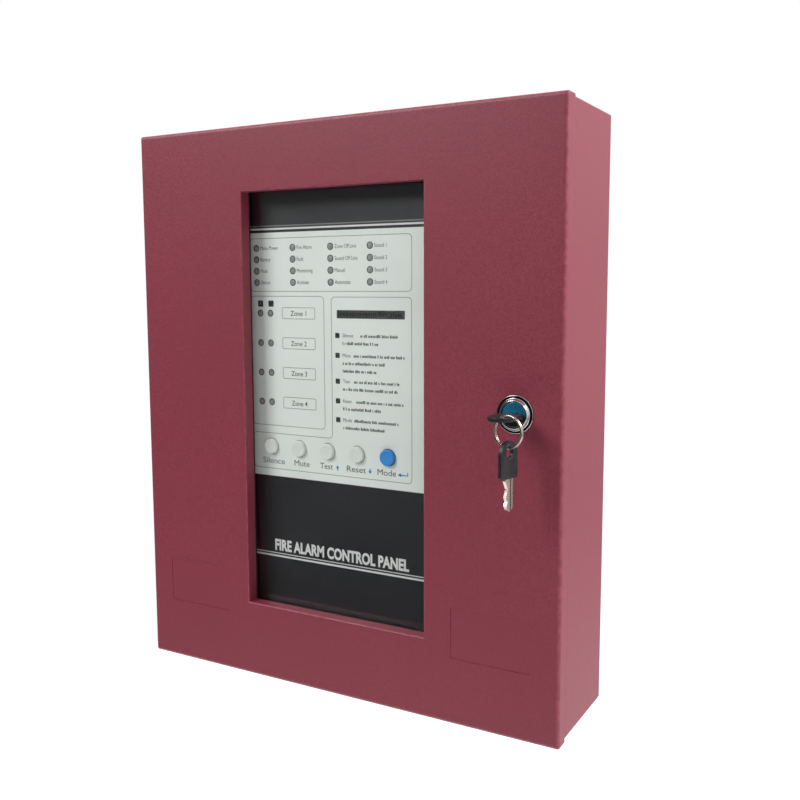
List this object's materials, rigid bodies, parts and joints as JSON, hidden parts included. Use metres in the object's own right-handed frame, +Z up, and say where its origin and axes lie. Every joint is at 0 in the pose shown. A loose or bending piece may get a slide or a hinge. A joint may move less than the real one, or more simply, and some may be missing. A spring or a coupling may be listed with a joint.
{
  "type": "fire alarm control panel",
  "caption": "Wall-mounted steel fire alarm control panel with a hinged keyed door, window, operator panel with lights and push buttons, circuit boards and backup batteries.",
  "frame": {"origin": "centre of the flat rear wall, on the face that lies against the wall", "axes": "+X to the right seen from the front, +Y into the wall, +Z up"},
  "size_m": [0.3262, 0.1141, 0.3808],
  "materials": {
    "red_paint": "fine-textured powder coat, satin",
    "zinc_plate": "bright zinc plated steel",
    "chrome": "polished chrome plate",
    "nickel": "nickel plated steel",
    "black_plastic": "moulded black plastic",
    "rubber": "matt rubber",
    "clear_pane": "clear polished acrylic",
    "blue_lock_face": "blue lacquered metal face",
    "printed_sheet": "printed polycarbonate sheet, black and pale grey green",
    "circuit_board": "green solder resist",
    "light_guide": "smoked clear plastic",
    "grey_button": "pale grey moulded plastic",
    "blue_button": "blue moulded plastic",
    "terminal_green": "green moulded plastic",
    "relay_case": "blue moulded plastic",
    "fuse_glass": "glass tube with metal caps",
    "ribbon_grey": "grey ribbon insulation",
    "core_steel": "varnished steel laminations",
    "coil_tape": "yellow winding tape over copper",
    "battery_case": "dark grey battery case",
    "black_wire": "black insulation",
    "red_wire": "red insulation"
  },
  "bodies": {
    "box": {"alarm_relay": "relay_case", "back_box": "red_paint", "battery_1": "battery_case", "battery_2": "battery_case", "battery_fuse": "fuse_glass", "battery_lead_black": "black_wire", "battery_lead_red": "red_wire", "battery_link": "black_wire", "battery_strap": "zinc_plate", "board_rail_left": "black_plastic", "board_rail_right": "black_plastic", "cable_grommet_1": "rubber", "cable_grommet_2": "rubber", "display_board": "circuit_board", "display_spacer_left": "black_plastic", "display_spacer_right": "black_plastic", "earth_stud": "zinc_plate", "field_terminals": "terminal_green", "internal_sounder": "black_plastic", "lower_hinge_box_leaf": "zinc_plate", "lower_hinge_pin": "zinc_plate", "main_board": "circuit_board", "operator_panel": "zinc_plate", "panel_overlay": "printed_sheet", "ribbon_cable": "ribbon_grey", "status_light_guide": "light_guide", "switch_mode": "black_plastic", "switch_mute": "black_plastic", "switch_reset": "black_plastic", "switch_silence": "black_plastic", "switch_test": "black_plastic", "transformer_coil": "coil_tape", "transformer_core": "core_steel", "upper_hinge_box_leaf": "zinc_plate", "upper_hinge_pin": "zinc_plate", "zone_light_guide": "light_guide"},
    "door": {"door_shell": "red_paint", "pane_seal": "rubber", "window_pane": "clear_pane", "pane_clip_1": "zinc_plate", "pane_clip_2": "zinc_plate", "pane_clip_3": "zinc_plate", "pane_clip_4": "zinc_plate", "upper_hinge_door_leaf": "zinc_plate", "lower_hinge_door_leaf": "zinc_plate", "lock_housing": "chrome", "lock_nut": "zinc_plate"},
    "lock_rotor": {"lock_plug": "blue_lock_face", "lock_cam": "zinc_plate", "cam_screw": "zinc_plate"},
    "inserted_key": {"key_head": "black_plastic", "key_blade": "nickel"},
    "ring": {"key_ring": "nickel"},
    "spare_key": {"spare_key_head": "black_plastic", "spare_key_blade": "nickel"},
    "push_silence": {"button_silence": "grey_button"},
    "push_mute": {"button_mute": "grey_button"},
    "push_test": {"button_test": "grey_button"},
    "push_reset": {"button_reset": "grey_button"},
    "push_mode": {"button_mode": "blue_button"}
  },
  "joints": [
    {"name": "door_hinge", "type": "hinge", "parent": "box", "child": "door", "pos_m": [-0.1635, -0.0715, 0], "axis": [0, 0, -1], "range_deg": [0, 120]},
    {"name": "lock_turn", "type": "hinge", "parent": "door", "child": "lock_rotor", "pos_m": [0.1304, -0.083, 0.0089], "axis": [0, 1, 0], "range_deg": [0, 90]},
    {"name": "key_pull", "type": "slide", "parent": "lock_rotor", "child": "inserted_key", "axis": [0, -1, 0], "range_m": [0, 0.022]},
    {"name": "ring_swing", "type": "hinge", "parent": "inserted_key", "child": "ring", "pos_m": [0.13, -0.10475, 0.0089], "axis": [0, 1, 0], "range_deg": [-48.6, 0]},
    {"name": "spare_key_swing", "type": "hinge", "parent": "ring", "child": "spare_key", "pos_m": [0.13593, -0.10601, 0.00217], "axis": [0.2079, 0.9781, 0], "range_deg": [-41.4, 0]},
    {"name": "press_silence", "type": "slide", "parent": "box", "child": "push_silence", "axis": [0, 1, 0], "range_m": [0, 0.0006], "stiffness_N_per_m": 600, "springref_m": -0.0015},
    {"name": "press_mute", "type": "slide", "parent": "box", "child": "push_mute", "axis": [0, 1, 0], "range_m": [0, 0.0006], "stiffness_N_per_m": 600, "springref_m": -0.0015},
    {"name": "press_test", "type": "slide", "parent": "box", "child": "push_test", "axis": [0, 1, 0], "range_m": [0, 0.0006], "stiffness_N_per_m": 600, "springref_m": -0.0015},
    {"name": "press_reset", "type": "slide", "parent": "box", "child": "push_reset", "axis": [0, 1, 0], "range_m": [0, 0.0006], "stiffness_N_per_m": 600, "springref_m": -0.0015},
    {"name": "press_mode", "type": "slide", "parent": "box", "child": "push_mode", "axis": [0, 1, 0], "range_m": [0, 0.0006], "stiffness_N_per_m": 600, "springref_m": -0.0015}
  ],
  "couplings": [
    {"joint": "ring_swing", "follows": "lock_turn", "ratio": -0.54},
    {"joint": "spare_key_swing", "follows": "lock_turn", "ratio": -0.46}
  ]
}
